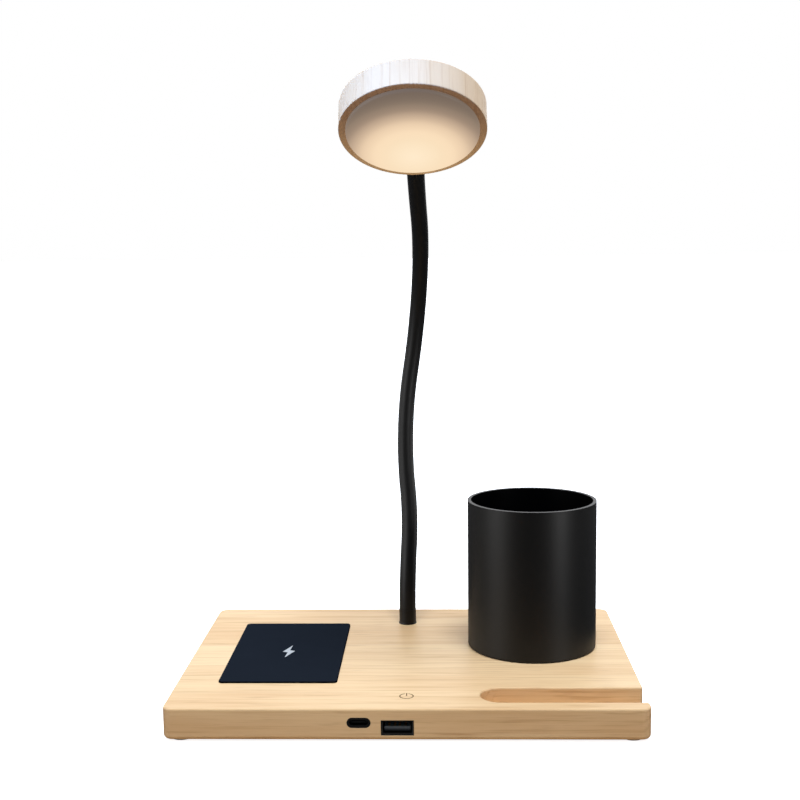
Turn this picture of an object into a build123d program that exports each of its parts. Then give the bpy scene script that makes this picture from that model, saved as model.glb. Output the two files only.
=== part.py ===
"""Desk lamp with organizer: a bamboo base with a charging pad, a pen cup and a phone slot, and a
round bamboo lamp head on a bendable neck. Millimetres, +Z up, the origin on the desk under the
middle of the base, the front of the base towards -Y.
"""
import os
from math import hypot, radians, sqrt, tan

from build123d import *

# Bamboo base board
board_width = 210
board_depth = 150
top_skin = 4  # wood left above the electronics bay
board_corner_radius = 4.5
board_top_round = 0.8
board_bottom_round = 1.8

# Rubber feet, sunk a little into the underside
foot_diameter = 10
foot_height = 2
foot_sink = 1
foot_inset = 7.5
foot_round = 0.4

# Phone slot, routed along the front and open at the right end
slot_lip = 8.3
slot_width = 18.2
slot_length = 72.5
slot_depth = 8
slot_mouth_round = 1.2

# Electronics bay, milled from below, and the cover that closes it
bay_front_wall = 6
bay_back_wall = 13
bay_left_wall = 22
bay_past_neck = 12
bay_corner_radius = 3
bay_head_room = 0.54
cover_thickness = 2
cover_lap = 8
cover_front_lap = 2.5
cover_corner_radius = 4
cover_chamfer = 0.4
cover_screw_pitch = 50

# Screws: head radius, head height, shank radius, length under the head's seat
cover_screw = (3.0, 1.7, 1.5, 8.0)
circuit_screw = (2.1, 1.5, 1.0, 4.0)
cup_screw = (3.4, 2.4, 1.75, 11.0)
led_screw = (1.8, 1.0, 0.9, 3.5)
pan_flat = 0.6  # share of a pan head's radius that is flat

# Clearances
drop_gap = 0.15  # round a piece that drops into a recess
screw_gap = 0.1  # round a screw's shank
port_gap = 0.05  # round a port's flange
part_gap = 0.5  # between neighbours inside the bay

# Wireless charging pad and its coil
pad_width = 54
pad_length = 89
pad_left_margin = 19.05
pad_middle = 1.7
pad_thickness = 2.5
pad_proud = 0.8
pad_corner_radius = 2
pad_round = 0.3
pad_ledge = 4
coil_inner_diameter = 20
coil_thickness = 1
coil_margin = 1
ferrite_thickness = 0.8

# Circuit board and what stands on it
circuit_width = 40
circuit_depth = 40
circuit_thickness = 1.2
post_height = 3
post_radius = 2.5
post_inset = 3
post_pitch = 26
post_shift = 2.5
chip_side = 6
chip_height = 1
chip_shift = 2
inductor_side = 7
inductor_height = 3
inductor_round = 1.4
capacitor_radius = 2.5
capacitor_height = 3
socket_width = 6
socket_depth = 4
socket_shift = 4
coil_socket_height = 2.8
lamp_socket_height = 2.4

# USB outlet, type A, sunk in the circuit board's front edge
usb_a_x = -3.5
usb_a_width = 13.2
usb_a_height = 5.8
usb_a_length = 12.5
usb_a_flange = 0.45
usb_a_tongue_width = 11.1
usb_a_tongue_thickness = 1.84
usb_a_tongue_drop = 0.7
usb_a_tongue_setback = 1.2
contact_pitches = (-3.5, -1.0, 1.0, 3.5)
contact_width = 1
contact_thickness = 0.2
contact_setback = 1

# USB inlet, type C, on top of the circuit board
usb_c_x = -20.1
usb_c_width = 8.94
usb_c_height = 3.26
usb_c_length = 10.5
usb_c_flange = 0.65
usb_c_tongue_width = 6.69
usb_c_tongue_thickness = 0.7
usb_c_tongue_setback = 1.2
usb_wall = 0.35
usb_flange_thickness = 0.8
usb_block_depth = 3.2
usb_recess = 0.15

# Touch switch under the wood, below the power mark
touch_x = 0
touch_front_margin = 15.8
touch_skin = 2
touch_recess_radius = 7
touch_plate_radius = 6
touch_plate_thickness = 0.4
touch_pin_radius = 0.6
touch_pin_foot_radius = 1.5
touch_pin_foot_height = 1

# Pen cup
cup_diameter = 62.8
cup_height = 72.6
cup_wall = 1.8
cup_floor = 4
cup_right_margin = 13.3
cup_back_margin = 29
cup_bottom_round = 1
cup_rim_round = 0.7
cup_inner_round = 2.5
cup_screw_spread = 30
cup_screw_sink = 6
cup_screw_bore_radius = 4

# Neck: a bendable tube cut into equal lengths with a ball seat at each end
neck_x = -2
neck_back_margin = 25
neck_radius = 4.22
neck_pitch = 32.5
fore_turns = (-22.2, -5, 9, 17.2, 21.8, 20, 13.9, 4.1)  # degrees towards the front, one per length
side_turns = (3.1, -8.5, 7, 7.2, -2.6, -2.3, -2.6, 1.7)  # degrees towards the right, one per length
largest_bend = 25  # degrees at one ball seat
rim_gap = 0.4
ball_inset = 0.1
ball_gap = 0.3
neck_bore_radius = 1.6
lead_radius = 0.75
lead_break = 0.4
lead_turn_radius = 2.4
lead_sweep_radius = 60
coil_lead_radius = 0.6
coil_lead_turn_radius = 1.8
coil_lead_sweep_radius = 8

# Ferrules, stems, washer and nut
ferrule_radius = 4.4
ferrule_height = 7.5
ferrule_flange_radius = 4.6
ferrule_flange_height = 0.8
stem_radius = 3
stem_gap = 0.2
thread_gap = 0.05
washer_radius = 7
washer_thickness = 1
nut_across_flats = 10
nut_height = 3
stem_past_nut = 0.8
head_ferrule_length = 10
ferrule_seat = 0.4
ferrule_seat_radius = 4.6

# Lamp head
head_diameter = 66
head_thickness = 13.3
head_roll = 4.9  # degrees that the head is turned on its stem
head_back_round = 0.5
head_front_round = 0.5
ring_width = 3.1
diffuser_ledge = 1.5
diffuser_seat_depth = 2.2
diffuser_proud = 1.4
diffuser_crown = 0.6
diffuser_wall = 1.5
diffuser_round = 1
boss_width = 14
boss_length = 12
led_board_thickness = 1.2
led_board_margin = 1.4
led_board_lift = 0.05
led_count = 12
led_ring_radius = 13.5
led_length = 3.5
led_width = 2.8
led_height = 0.7
led_screw_spread = 42
grub_radius = 1.5
grub_bite = 0.8
grub_setback = 10
head_lead_reach = 4

# Heights above the desk
board_bottom = foot_height - foot_sink
cover_inside = board_bottom + cover_thickness
circuit_bottom = cover_inside + post_height
circuit_top = circuit_bottom + circuit_thickness
bay_ceiling = circuit_top + usb_c_height + bay_head_room
board_top = bay_ceiling + top_skin
pad_bottom = board_top + pad_proud - pad_thickness
coil_bottom = pad_bottom - coil_thickness
ferrite_bottom = coil_bottom - ferrite_thickness
touch_ceiling = board_top - touch_skin
nut_bottom = bay_ceiling - washer_thickness - nut_height
stem_bottom = nut_bottom - stem_past_nut
first_hinge_height = board_top + ferrule_height
lead_height = circuit_bottom - lamp_socket_height / 2
coil_lead_height = circuit_top + coil_socket_height / 2

# Plan positions
front_face = -board_depth / 2
neck_y = board_depth / 2 - neck_back_margin
bay_left = -board_width / 2 + bay_left_wall
bay_right = neck_x + bay_past_neck
bay_front = front_face + bay_front_wall
bay_back = board_depth / 2 - bay_back_wall
bay_x = (bay_left + bay_right) / 2
bay_y = (bay_front + bay_back) / 2
bay_width = bay_right - bay_left
bay_depth = bay_back - bay_front
cover_width = bay_width + 2 * cover_lap
cover_front = bay_front - cover_front_lap
cover_depth = bay_back + cover_lap - cover_front
cover_y = cover_front + cover_depth / 2
pad_x = -board_width / 2 + pad_left_margin + pad_width / 2
cup_radius = cup_diameter / 2
cup_x = board_width / 2 - cup_right_margin - cup_radius
cup_y = board_depth / 2 - cup_back_margin - cup_radius
slot_y = front_face + slot_lip + slot_width / 2
slot_left = board_width / 2 - slot_length
touch_y = front_face + touch_front_margin
circuit_x = (usb_a_x + usb_c_x) / 2
circuit_front = bay_front + part_gap
circuit_y = circuit_front + circuit_depth / 2
circuit_back = circuit_front + circuit_depth
coil_radius = pad_width / 2 - pad_ledge - coil_margin
coil_socket_x = circuit_x - inductor_side - chip_shift
lamp_socket_x = circuit_x + socket_shift
usb_a_height_above = circuit_bottom + circuit_thickness / 2
usb_c_height_above = circuit_top + usb_c_height / 2
foot_x = board_width / 2 - foot_inset
foot_y = board_depth / 2 - foot_inset

# Neck and head sizes that follow from the rest
ball_radius = neck_radius - ball_inset
socket_radius = ball_radius + ball_gap
rim_rise = neck_radius * tan(radians(largest_bend)) + rim_gap
head_radius = head_diameter / 2
mouth_radius = head_radius - ring_width
well_radius = mouth_radius - diffuser_ledge
led_board_face = lead_radius + led_board_lift
well_floor = led_board_face + led_board_thickness
head_front = -head_thickness / 2
well_top = head_front + diffuser_seat_depth
boss_end = well_radius - boss_length

underside = Plane(origin=(bay_x, bay_y, board_bottom), x_dir=(1, 0, 0), z_dir=(0, 0, -1))
cup_underside = Plane(
    origin=(cup_x, cup_y, board_bottom + cup_screw_sink), x_dir=(1, 0, 0), z_dir=(0, 0, -1)
)
usb_a_plane = Plane(
    origin=(usb_a_x, front_face + usb_recess, usb_a_height_above), x_dir=(1, 0, 0), z_dir=(0, -1, 0)
)
usb_c_plane = Plane(
    origin=(usb_c_x, front_face + usb_recess, usb_c_height_above), x_dir=(1, 0, 0), z_dir=(0, -1, 0)
)

os.makedirs("parts", exist_ok=True)


def keep(piece, name):
    """Label a finished piece and write it to its own file."""
    piece.part.label = name
    export_step(piece.part, f"parts/{name}.step")


def upright(x, y):
    """A drawing plane standing on the desk at x and y, seen from the front."""
    return Plane(origin=(x, y, 0), x_dir=(1, 0, 0), z_dir=(0, -1, 0))


def vertical(x, y):
    """The vertical line through x and y."""
    return Axis((x, y, 0), (0, 0, 1))


def countersunk_screw(head_radius, head_height, shank_radius, length):
    """A screw pointing down from the origin, with the flat of its head at the origin."""
    with BuildPart() as screw:
        with BuildSketch(Plane.XZ):
            with BuildLine():
                Polyline(
                    (0, 0),
                    (head_radius, 0),
                    (shank_radius, -head_height),
                    (shank_radius, shank_radius - length),
                    (0, -length),
                    close=True,
                )
            make_face()
        revolve(axis=Axis.Z)
    return screw.part


def pan_screw(head_radius, head_height, shank_radius, length):
    """A screw pointing down from the origin, with the seat of its head at the origin."""
    with BuildPart() as screw:
        with BuildSketch(Plane.XZ):
            with BuildLine():
                Polyline(
                    (0, head_height),
                    (head_radius * pan_flat, head_height),
                    (head_radius, head_height / 2),
                    (head_radius, 0),
                    (shank_radius, 0),
                    (shank_radius, -length),
                    (0, -length),
                    close=True,
                )
            make_face()
        revolve(axis=Axis.Z)
    return screw.part


def turn_axis(plane, fore, side):
    """The line that a length of the neck turns about as it leaves a plane."""
    turn = hypot(fore, side)
    direction = (plane.x_dir * fore + plane.y_dir * side) * (1 / turn)
    lean = direction.cross(plane.z_dir)
    return Axis(plane.origin + lean * (neck_pitch / radians(turn)), direction)


def along_neck(plane, fore, side, distance):
    """The plane across the neck at a distance along a length that starts at the given plane."""
    axis = turn_axis(plane, fore, side)
    angle = hypot(fore, side) * distance / neck_pitch
    spoke = plane.origin - axis.position
    return Plane(
        origin=axis.position + spoke.rotate(axis, angle),
        x_dir=plane.x_dir.rotate(axis, angle),
        z_dir=plane.z_dir.rotate(axis, angle),
    )


# The planes across the neck at its ball seats, from the base to the head
neck_turns = list(zip(fore_turns, side_turns))
seats = [Plane(origin=(neck_x, neck_y, first_hinge_height))]
for fore, side in neck_turns:
    seats.append(along_neck(seats[-1], fore, side, neck_pitch))
last_seat = seats[-1]
for number, seat in enumerate(seats, 1):
    across = seat.x_dir if number % 2 else seat.y_dir
    print("neck seat", number, tuple(seat.origin), "bends about", tuple(across))

# The head's plane lies at mid thickness: its +Z leaves the back, its +Y points at the neck
stem_axis = Axis(last_seat.origin, last_seat.z_dir)
head_plane = Plane(
    origin=last_seat.origin + last_seat.z_dir * (head_ferrule_length + head_radius),
    x_dir=last_seat.x_dir.rotate(stem_axis, head_roll),
    z_dir=last_seat.y_dir.rotate(stem_axis, head_roll),
)
head_axis = Axis(head_plane.origin, head_plane.z_dir)
head_section = Plane(origin=head_plane.origin, x_dir=head_plane.x_dir, z_dir=-head_plane.y_dir)
led_face = Plane(
    origin=head_plane.offset(led_board_face).origin, x_dir=head_plane.x_dir, z_dir=-head_plane.z_dir
)

# Base board: outline, slot and rounded edges first, then what is cut into it
with BuildPart() as base_board:
    with BuildSketch(Plane.XY.offset(board_bottom)):
        RectangleRounded(board_width, board_depth, board_corner_radius)
    extrude(amount=board_top - board_bottom)
    with BuildSketch(Plane.XY.offset(board_top - slot_depth)):
        with Locations((slot_left + slot_width / 2, slot_y)):
            Circle(slot_width / 2)
            Rectangle(board_width, slot_width, align=(Align.MIN, Align.CENTER))
    extrude(amount=slot_depth, mode=Mode.SUBTRACT)
    mouth_edges = (
        base_board.edges()
        .filter_by(Axis.Z)
        .filter_by_position(Axis.X, board_width / 2 - port_gap, board_width / 2 + port_gap)
        .filter_by_position(Axis.Y, slot_y - slot_width, slot_y + slot_width)
    )
    fillet(mouth_edges, slot_mouth_round)
    fillet(base_board.faces().sort_by(Axis.Z)[-1].edges(), board_top_round)
    fillet(base_board.faces().sort_by(Axis.Z)[0].edges(), board_bottom_round)
    # rebate for the cover, then the bay itself
    with BuildSketch(Plane.XY.offset(board_bottom)):
        with Locations((bay_x, cover_y)):
            RectangleRounded(
                cover_width + 2 * drop_gap, cover_depth + 2 * drop_gap, cover_corner_radius + drop_gap
            )
    extrude(amount=cover_thickness, mode=Mode.SUBTRACT)
    with BuildSketch(Plane.XY.offset(cover_inside)):
        with Locations((bay_x, bay_y)):
            RectangleRounded(bay_width, bay_depth, bay_corner_radius)
    extrude(amount=bay_ceiling - cover_inside, mode=Mode.SUBTRACT)
    # recess for the charging pad, with a window to the bay inside its ledge
    with BuildSketch(Plane.XY.offset(pad_bottom)):
        with Locations((pad_x, pad_middle)):
            RectangleRounded(
                pad_width + 2 * drop_gap, pad_length + 2 * drop_gap, pad_corner_radius + drop_gap
            )
    extrude(amount=pad_thickness, mode=Mode.SUBTRACT)
    with BuildSketch(Plane.XY.offset(bay_ceiling)):
        with Locations((pad_x, pad_middle)):
            Rectangle(pad_width - 2 * pad_ledge, pad_length - 2 * pad_ledge)
    extrude(amount=pad_bottom - bay_ceiling, mode=Mode.SUBTRACT)
    # thin spot over the touch switch, and the hole for the neck's stem
    with BuildSketch(Plane.XY.offset(bay_ceiling)):
        with Locations((touch_x, touch_y)):
            Circle(touch_recess_radius)
    extrude(amount=touch_ceiling - bay_ceiling, mode=Mode.SUBTRACT)
    with BuildSketch(Plane.XY.offset(bay_ceiling)):
        with Locations((neck_x, neck_y)):
            Circle(stem_radius + stem_gap)
    extrude(amount=top_skin, mode=Mode.SUBTRACT)
    # port openings through the front wall
    with BuildSketch(usb_a_plane.offset(usb_recess)):
        Rectangle(
            usb_a_width + 2 * (usb_a_flange + port_gap), usb_a_height + 2 * (usb_a_flange + port_gap)
        )
    extrude(amount=-bay_front_wall, mode=Mode.SUBTRACT)
    with BuildSketch(usb_c_plane.offset(usb_recess)):
        SlotOverall(
            usb_c_width + 2 * (usb_c_flange + port_gap), usb_c_height + 2 * (usb_c_flange + port_gap)
        )
    extrude(amount=-bay_front_wall, mode=Mode.SUBTRACT)
    # seats for the feet
    with BuildSketch(Plane.XY.offset(board_bottom)):
        with GridLocations(2 * foot_x, 2 * foot_y, 2, 2):
            Circle(foot_diameter / 2 + drop_gap)
    extrude(amount=foot_sink, mode=Mode.SUBTRACT)
    # pilot holes for the cover's screws and stepped holes for the cup's screws
    with BuildSketch(Plane.XY.offset(cover_inside)):
        with Locations((bay_x, bay_y)):
            with GridLocations(bay_width + cover_lap, cover_screw_pitch, 2, 3):
                Circle(cover_screw[2] + screw_gap)
    extrude(amount=cover_screw[3] - cover_thickness + screw_gap, mode=Mode.SUBTRACT)
    with Locations(cup_underside.offset(cup_screw_sink)):
        with GridLocations(cup_screw_spread, 0, 2, 1):
            CounterBoreHole(cup_screw[2] + screw_gap, cup_screw_bore_radius, cup_screw_sink)
keep(base_board, "base_board")

# Cover under the bay, with posts for the circuit board
with BuildPart() as base_cover:
    with BuildSketch(Plane.XY.offset(board_bottom)):
        with Locations((bay_x, cover_y)):
            RectangleRounded(cover_width, cover_depth, cover_corner_radius)
    extrude(amount=cover_thickness)
    chamfer(base_cover.faces().sort_by(Axis.Z)[0].edges(), cover_chamfer)
    with BuildSketch(Plane.XY.offset(cover_inside)):
        with Locations((circuit_x, circuit_y + post_shift)):
            with GridLocations(circuit_width - 2 * post_inset, post_pitch, 2, 2):
                Circle(post_radius)
    extrude(amount=post_height)
    with BuildSketch(Plane.XY.offset(circuit_bottom)):
        with Locations((circuit_x, circuit_y + post_shift)):
            with GridLocations(circuit_width - 2 * post_inset, post_pitch, 2, 2):
                Circle(circuit_screw[2] + screw_gap)
    extrude(amount=-(circuit_screw[3] - circuit_thickness + screw_gap), mode=Mode.SUBTRACT)
    with Locations(underside):
        with GridLocations(bay_width + cover_lap, cover_screw_pitch, 2, 3):
            CounterSinkHole(cover_screw[2] + screw_gap, cover_screw[0] + screw_gap)
keep(base_cover, "base_cover")

with BuildPart(underside) as cover_screws:
    with GridLocations(bay_width + cover_lap, cover_screw_pitch, 2, 3):
        add(countersunk_screw(*cover_screw))
keep(cover_screws, "cover_screws")

for end, y in (("front", -foot_y), ("back", foot_y)):
    for hand, x in (("left", -foot_x), ("right", foot_x)):
        with BuildPart() as foot:
            with BuildSketch():
                with Locations((x, y)):
                    Circle(foot_diameter / 2)
            extrude(amount=foot_height)
            fillet(foot.faces().sort_by(Axis.Z)[0].edges(), foot_round)
        keep(foot, f"foot_{end}_{hand}")

# Charging pad with the coil and the ferrite sheet under it
with BuildPart() as charging_pad:
    with BuildSketch(Plane.XY.offset(pad_bottom)):
        with Locations((pad_x, pad_middle)):
            RectangleRounded(pad_width, pad_length, pad_corner_radius)
    extrude(amount=pad_thickness)
    fillet(charging_pad.faces().sort_by(Axis.Z)[-1].edges(), pad_round)
keep(charging_pad, "charging_pad")

with BuildPart() as charging_coil:
    with BuildSketch(Plane.XY.offset(coil_bottom)):
        with Locations((pad_x, pad_middle)):
            Circle(coil_radius)
            Circle(coil_inner_diameter / 2, mode=Mode.SUBTRACT)
    extrude(amount=coil_thickness)
keep(charging_coil, "charging_coil")

with BuildPart() as coil_ferrite:
    with BuildSketch(Plane.XY.offset(ferrite_bottom)):
        with Locations((pad_x, pad_middle)):
            Circle(coil_radius + coil_margin / 2)
    extrude(amount=ferrite_thickness)
keep(coil_ferrite, "coil_ferrite")

# Circuit board with a notch for the sunk outlet
with BuildPart() as circuit_board:
    with BuildSketch(Plane.XY.offset(circuit_bottom)):
        with Locations((circuit_x, circuit_y)):
            Rectangle(circuit_width, circuit_depth)
        with Locations((usb_a_x, circuit_front)):
            Rectangle(
                usb_a_width + 2 * drop_gap,
                2 * (front_face + usb_recess + usb_a_length + drop_gap - circuit_front),
                mode=Mode.SUBTRACT,
            )
        with Locations((circuit_x, circuit_y + post_shift)):
            with GridLocations(circuit_width - 2 * post_inset, post_pitch, 2, 2):
                Circle(circuit_screw[2] + screw_gap, mode=Mode.SUBTRACT)
    extrude(amount=circuit_thickness)
keep(circuit_board, "circuit_board")

with BuildPart(Plane.XY.offset(circuit_top)) as circuit_screws:
    with Locations((circuit_x, circuit_y + post_shift)):
        with GridLocations(circuit_width - 2 * post_inset, post_pitch, 2, 2):
            add(pan_screw(*circuit_screw))
keep(circuit_screws, "circuit_screws")

# Driver chip, inductor, capacitor and the two lead sockets
with BuildPart() as circuit_parts:
    with BuildSketch(Plane.XY.offset(circuit_top)):
        with Locations((circuit_x + chip_shift, circuit_y + chip_shift)):
            Rectangle(chip_side, chip_side)
    extrude(amount=chip_height)
    with BuildSketch(Plane.XY.offset(circuit_top)):
        with Locations((coil_socket_x, circuit_y + chip_shift)):
            RectangleRounded(inductor_side, inductor_side, inductor_round)
    extrude(amount=inductor_height)
    with BuildSketch(Plane.XY.offset(circuit_top)):
        with Locations((usb_a_x, circuit_y + chip_side + capacitor_radius)):
            Circle(capacitor_radius)
    extrude(amount=capacitor_height)
    with BuildSketch(Plane.XY.offset(circuit_top)):
        with Locations((coil_socket_x, circuit_back - socket_depth / 2)):
            Rectangle(socket_width, socket_depth)
    extrude(amount=coil_socket_height)
    with BuildSketch(Plane.XY.offset(circuit_bottom)):
        with Locations((lamp_socket_x, circuit_back - socket_depth / 2)):
            Rectangle(socket_width, socket_depth)
    extrude(amount=-lamp_socket_height)
keep(circuit_parts, "circuit_parts")

# USB type A outlet: flanged shell, tongue with its rear block, and four contacts
with BuildPart() as usb_a_shell:
    with BuildSketch(usb_a_plane):
        Rectangle(usb_a_width, usb_a_height)
    extrude(amount=-usb_a_length)
    with BuildSketch(usb_a_plane):
        Rectangle(usb_a_width + 2 * usb_a_flange, usb_a_height + 2 * usb_a_flange)
    extrude(amount=-usb_flange_thickness)
    with BuildSketch(usb_a_plane):
        Rectangle(usb_a_width - 2 * usb_wall, usb_a_height - 2 * usb_wall)
    extrude(amount=-usb_a_length, mode=Mode.SUBTRACT)
    mouth = usb_a_shell.faces().sort_by(Axis.Y)[0]
    chamfer(mouth.inner_wires()[0].edges(), usb_wall)
keep(usb_a_shell, "usb_a_shell")

with BuildPart() as usb_a_tongue:
    with BuildSketch(usb_a_plane.offset(-usb_a_length)):
        Rectangle(usb_a_width - 2 * (usb_wall + port_gap), usb_a_height - 2 * (usb_wall + port_gap))
    extrude(amount=usb_block_depth)
    with BuildSketch(usb_a_plane.offset(-usb_a_length)):
        with Locations((0, -usb_a_tongue_drop)):
            Rectangle(usb_a_tongue_width, usb_a_tongue_thickness)
    extrude(amount=usb_a_length - usb_a_tongue_setback)
keep(usb_a_tongue, "usb_a_tongue")

with BuildPart() as usb_a_contacts:
    with BuildSketch(usb_a_plane.offset(usb_block_depth - usb_a_length)):
        for pitch in contact_pitches:
            with Locations((pitch, usb_a_tongue_thickness / 2 - usb_a_tongue_drop)):
                Rectangle(contact_width, contact_thickness, align=(Align.CENTER, Align.MIN))
    extrude(amount=usb_a_length - usb_block_depth - usb_a_tongue_setback - contact_setback)
keep(usb_a_contacts, "usb_a_contacts")

# USB type C inlet: flanged shell and tongue with its rear block
with BuildPart() as usb_c_shell:
    with BuildSketch(usb_c_plane):
        SlotOverall(usb_c_width, usb_c_height)
    extrude(amount=-usb_c_length)
    with BuildSketch(usb_c_plane):
        SlotOverall(usb_c_width + 2 * usb_c_flange, usb_c_height + 2 * usb_c_flange)
    extrude(amount=-usb_flange_thickness)
    with BuildSketch(usb_c_plane):
        SlotOverall(usb_c_width - 2 * usb_wall, usb_c_height - 2 * usb_wall)
    extrude(amount=-usb_c_length, mode=Mode.SUBTRACT)
keep(usb_c_shell, "usb_c_shell")

with BuildPart() as usb_c_tongue:
    with BuildSketch(usb_c_plane.offset(-usb_c_length)):
        SlotOverall(usb_c_width - 2 * (usb_wall + port_gap), usb_c_height - 2 * (usb_wall + port_gap))
    extrude(amount=usb_block_depth)
    with BuildSketch(usb_c_plane.offset(-usb_c_length)):
        Rectangle(usb_c_tongue_width, usb_c_tongue_thickness)
    extrude(amount=usb_c_length - usb_c_tongue_setback)
keep(usb_c_tongue, "usb_c_tongue")

# Touch switch: a sensing plate under the thin wood and its contact pin
with BuildPart() as touch_plate:
    with BuildSketch(Plane.XY.offset(touch_ceiling - touch_plate_thickness)):
        with Locations((touch_x, touch_y)):
            Circle(touch_plate_radius)
    extrude(amount=touch_plate_thickness)
keep(touch_plate, "touch_plate")

with BuildPart() as touch_pin:
    with BuildSketch(Plane.XY.offset(circuit_top)):
        with Locations((touch_x, touch_y)):
            Circle(touch_pin_foot_radius)
    extrude(amount=touch_pin_foot_height)
    with BuildSketch(Plane.XY.offset(circuit_top)):
        with Locations((touch_x, touch_y)):
            Circle(touch_pin_radius)
    extrude(amount=touch_ceiling - touch_plate_thickness - circuit_top)
keep(touch_pin, "touch_pin")

# Pen cup, turned from one profile, and the screws that hold it from below
with BuildPart() as pen_cup:
    with BuildSketch(upright(cup_x, cup_y)) as cup_profile:
        with BuildLine():
            Polyline(
                (0, board_top),
                (cup_radius, board_top),
                (cup_radius, board_top + cup_height),
                (cup_radius - cup_wall, board_top + cup_height),
                (cup_radius - cup_wall, board_top + cup_floor),
                (0, board_top + cup_floor),
                close=True,
            )
        make_face()
        outer = cup_profile.vertices().group_by(Axis.X)[-1].sort_by(Axis.Y)
        inner = cup_profile.vertices().group_by(Axis.X)[-2].sort_by(Axis.Y)
        fillet(outer[0], cup_bottom_round)
        fillet(inner[0], cup_inner_round)
        fillet([outer[1], inner[1]], cup_rim_round)
    revolve(axis=vertical(cup_x, cup_y))
    with BuildSketch(Plane.XY.offset(board_top)):
        with Locations((cup_x, cup_y)):
            with GridLocations(cup_screw_spread, 0, 2, 1):
                Circle(cup_screw[2] + screw_gap)
    cup_bite = board_bottom + cup_screw_sink + cup_screw[3] - board_top
    extrude(amount=cup_bite + screw_gap, mode=Mode.SUBTRACT)
keep(pen_cup, "pen_cup")

with BuildPart(cup_underside) as cup_screws:
    with GridLocations(cup_screw_spread, 0, 2, 1):
        add(pan_screw(*cup_screw))
keep(cup_screws, "cup_screws")

# Fitting at the neck's foot: hollow stem, ferrule and the first ball
with BuildPart() as neck_base_fitting:
    with BuildSketch(upright(neck_x, neck_y)):
        with BuildLine():
            Polyline(
                (neck_bore_radius, stem_bottom),
                (stem_radius, stem_bottom),
                (stem_radius, board_top),
                (ferrule_flange_radius, board_top),
                (ferrule_flange_radius, board_top + ferrule_flange_height / 2),
                (ferrule_radius, board_top + ferrule_flange_height),
                (ferrule_radius, first_hinge_height),
                (ball_radius, first_hinge_height),
            )
            ball_top = first_hinge_height + sqrt(ball_radius**2 - neck_bore_radius**2)
            RadiusArc(
                (ball_radius, first_hinge_height), (neck_bore_radius, ball_top), -ball_radius
            )
            Line((neck_bore_radius, ball_top), (neck_bore_radius, stem_bottom))
        make_face()
    revolve(axis=vertical(neck_x, neck_y))
    with BuildSketch(seats[0]):
        Circle(neck_bore_radius)
    extrude(amount=ball_radius, taper=-largest_bend, mode=Mode.SUBTRACT)
keep(neck_base_fitting, "neck_base_fitting")

with BuildPart() as neck_washer:
    with BuildSketch(Plane.XY.offset(bay_ceiling)):
        with Locations((neck_x, neck_y)):
            Circle(washer_radius)
            Circle(stem_radius + stem_gap, mode=Mode.SUBTRACT)
    extrude(amount=-washer_thickness)
keep(neck_washer, "neck_washer")

with BuildPart() as neck_nut:
    with BuildSketch(Plane.XY.offset(nut_bottom)):
        with Locations((neck_x, neck_y)):
            RegularPolygon(nut_across_flats / 2, 6, major_radius=False)
            Circle(stem_radius + thread_gap, mode=Mode.SUBTRACT)
    extrude(amount=nut_height)
keep(neck_nut, "neck_nut")

# Neck lengths: each a curved tube with a socket at its lower end and a ball at its upper end.
# The bore flares in the ball, so the next lead can swing with the bend.
for number, (fore, side) in enumerate(neck_turns, 1):
    lower = seats[number - 1]
    upper = seats[number]
    bend_axis = turn_axis(lower, fore, side)
    bend = hypot(fore, side)
    with BuildPart() as neck_tube:
        with BuildSketch(lower):
            Circle(neck_radius)
        revolve(axis=bend_axis, revolution_arc=bend)
        with BuildSketch(lower):
            Circle(neck_radius + rim_gap)
        extrude(amount=rim_rise, mode=Mode.SUBTRACT)
        with Locations(lower):
            Sphere(socket_radius, mode=Mode.SUBTRACT)
        with Locations(upper):
            Sphere(ball_radius)
        with BuildSketch(lower):
            Circle(neck_bore_radius)
        revolve(axis=bend_axis, revolution_arc=bend, mode=Mode.SUBTRACT)
        with BuildSketch(upper):
            Circle(neck_bore_radius)
        extrude(amount=ball_radius, taper=-largest_bend, mode=Mode.SUBTRACT)
    keep(neck_tube, f"neck_tube_{number}")
    with BuildPart() as neck_lead:
        with BuildSketch(along_neck(lower, fore, side, lead_break)):
            Circle(lead_radius)
        revolve(axis=bend_axis, revolution_arc=bend * (1 - 2 * lead_break / neck_pitch))
    keep(neck_lead, f"neck_lead_{number}")

# Fitting at the neck's top: ferrule with the last socket, and the stem that enters the head
with BuildPart() as neck_head_fitting:
    with BuildSketch(last_seat):
        Circle(ferrule_radius)
    extrude(amount=head_ferrule_length + ferrule_seat)
    with BuildSketch(last_seat):
        Circle(stem_radius)
    extrude(amount=head_ferrule_length + head_radius - boss_end)
    with BuildSketch(last_seat):
        Circle(ferrule_radius + rim_gap)
    extrude(amount=rim_rise, mode=Mode.SUBTRACT)
    with Locations(last_seat):
        Sphere(socket_radius, mode=Mode.SUBTRACT)
    with BuildSketch(last_seat):
        Circle(neck_bore_radius)
    extrude(amount=head_ferrule_length + head_radius, mode=Mode.SUBTRACT)
    with BuildSketch(head_plane.offset(-stem_radius)):
        with Locations((0, boss_end + grub_setback)):
            Circle(grub_radius + thread_gap)
    extrude(amount=grub_bite + thread_gap, mode=Mode.SUBTRACT)
keep(neck_head_fitting, "neck_head_fitting")

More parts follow.
